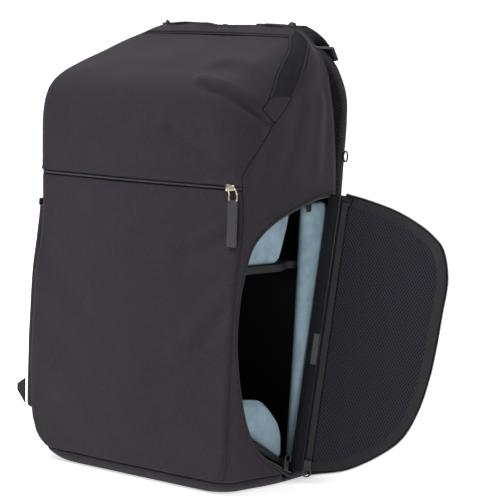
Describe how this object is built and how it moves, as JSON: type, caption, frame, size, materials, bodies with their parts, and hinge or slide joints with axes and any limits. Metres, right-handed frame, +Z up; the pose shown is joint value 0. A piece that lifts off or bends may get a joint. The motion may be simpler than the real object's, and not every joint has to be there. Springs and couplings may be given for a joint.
{
  "type": "camera backpack with its side door open",
  "caption": "Upright fabric camera backpack with a D-shaped side door folded open on a padded camera insert, shoulder straps, grab handle and zips.",
  "frame": {"origin": "on the floor under the middle of the flat base", "axes": "+Z up, front panel towards -Y, shoulder straps towards +Y, open camera door on the +X side"},
  "size_m": [0.45, 0.2401, 0.5078],
  "materials": {
    "shell_fabric": "matt melange weave, charcoal with a purple cast",
    "lining": "matt",
    "binding": "matt ribbed tape",
    "spacer_mesh": "matt open knit",
    "insert_fabric": "matt brushed nylon",
    "zip_tape": "satin coated tape",
    "webbing": "satin woven webbing",
    "hard_plastic": "satin moulded",
    "zip_slider": "gloss",
    "zip_metal": "polished",
    "pull_rubber": "matt"
  },
  "bodies": {
    "root": {"base_panel": "shell_fabric", "front_panel": "shell_fabric", "top_panel": "shell_fabric", "side_panel_right": "shell_fabric", "side_panel_left": "shell_fabric", "top_yoke": "shell_fabric", "back_shell": "shell_fabric", "zip_garage_right": "shell_fabric", "zip_garage_left": "shell_fabric", "front_zip_tape": "zip_tape", "top_zip_tape": "zip_tape", "front_zip_slider": "zip_metal", "front_zip_bail": "zip_metal", "front_zip_pull": "pull_rubber", "opening_binding": "binding", "opening_tab": "webbing", "door_panel": "shell_fabric", "door_band": "binding", "door_mesh_pocket": "spacer_mesh", "door_zip_coil": "zip_tape", "door_hinge_strip": "binding", "hinge_label": "webbing", "door_slider_upper": "zip_slider", "door_slider_lower": "zip_slider", "insert_floor": "lining", "insert_shelf": "lining", "insert_rear_pad": "insert_fabric", "insert_upper_flap": "insert_fabric", "insert_lower_flap": "insert_fabric", "back_pad": "spacer_mesh", "grab_handle": "webbing", "side_pocket": "binding", "side_pocket_binding": "binding", "side_corner_tab": "shell_fabric", "shoulder_strap_right": "spacer_mesh", "strap_buckle_right": "hard_plastic", "lower_webbing_right": "webbing", "anchor_tab_right": "shell_fabric", "load_lifter_right": "webbing", "lifter_buckle_right": "hard_plastic", "strap_loop_right": "webbing", "handle_tab_right": "shell_fabric", "shoulder_strap_left": "spacer_mesh", "strap_buckle_left": "hard_plastic", "lower_webbing_left": "webbing", "anchor_tab_left": "shell_fabric", "load_lifter_left": "webbing", "lifter_buckle_left": "hard_plastic", "strap_loop_left": "webbing", "handle_tab_left": "shell_fabric"}
  },
  "joints": []
}
